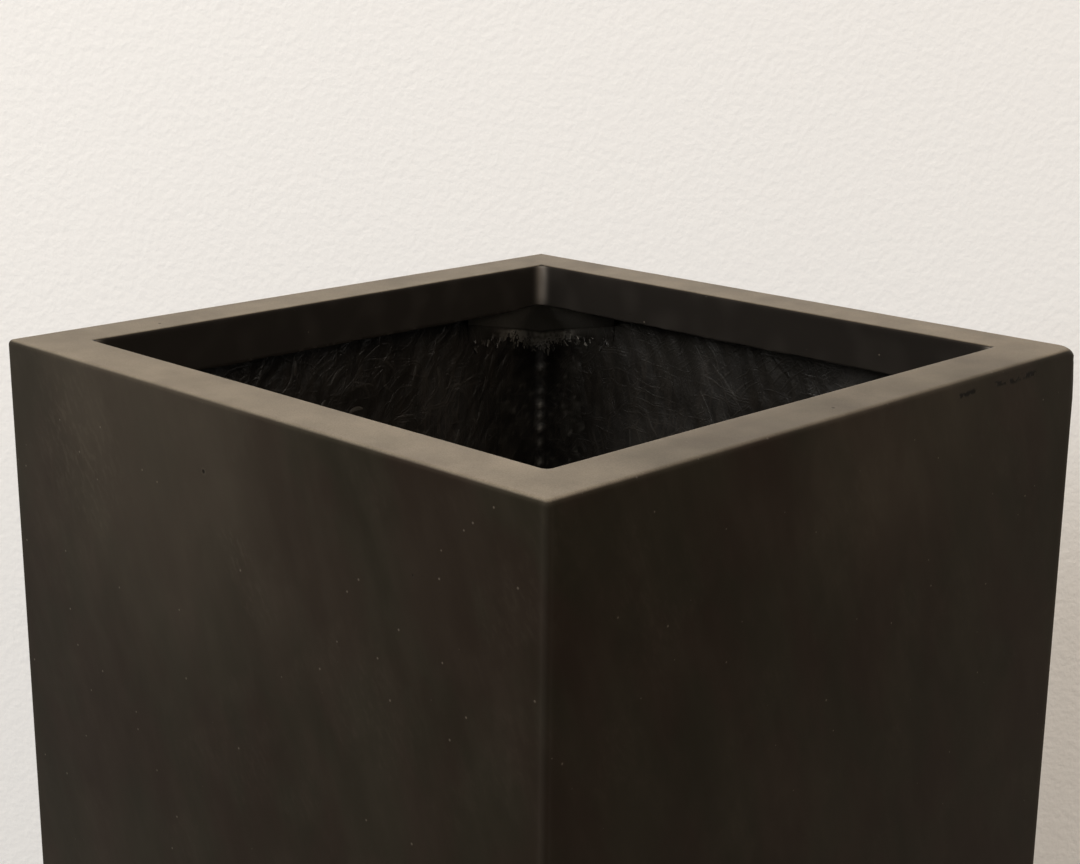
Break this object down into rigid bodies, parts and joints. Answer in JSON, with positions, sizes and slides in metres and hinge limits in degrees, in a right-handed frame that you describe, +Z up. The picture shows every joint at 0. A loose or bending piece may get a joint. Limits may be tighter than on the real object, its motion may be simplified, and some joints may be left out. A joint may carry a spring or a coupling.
{
  "type": "tall fiberglass planter",
  "caption": "Tall square fiberglass planter: straight walls, wide flat rim with a hollow turned-down lip, glassed corners, raised floor with a lift-out drain plug, rubber feet.",
  "frame": {"origin": "on the ground under the middle of the planter, in the plane of the feet", "axes": "+Z up out of the mouth, front is -Y, right is +X, the walls are square to X and Y"},
  "size_m": [0.4, 0.4, 0.9],
  "materials": {
    "gelcoat": "smooth matt charcoal gelcoat, faintly mottled, with pinholes and worn edges",
    "laminate": "rough chopped-strand laminate under semi-gloss black paint",
    "rubber": "moulded black rubber",
    "zinc_steel": "bright zinc plating"
  },
  "bodies": {
    "planter": {"wall_shell": "gelcoat", "rim_ring": "gelcoat", "floor_panel": "laminate", "corner_gusset_back_right": "laminate", "corner_gusset_back_left": "laminate", "corner_gusset_front_left": "laminate", "corner_gusset_front_right": "laminate", "corner_tape_back_right": "laminate", "corner_tape_back_left": "laminate", "corner_tape_front_left": "laminate", "corner_tape_front_right": "laminate", "rim_joint_tape_back": "laminate", "rim_joint_tape_left": "laminate", "rim_joint_tape_front": "laminate", "rim_joint_tape_right": "laminate", "floor_tape_back": "laminate", "floor_tape_left": "laminate", "floor_tape_front": "laminate", "floor_tape_right": "laminate", "feet": "rubber", "foot_washers": "zinc_steel", "foot_screws": "zinc_steel"},
    "plug": {"drain_plug": "rubber"}
  },
  "joints": [
    {"name": "drain_plug_lift", "type": "slide", "parent": "planter", "child": "plug", "axis": [0, 0, 1], "range_m": [0, 0.05]}
  ]
}
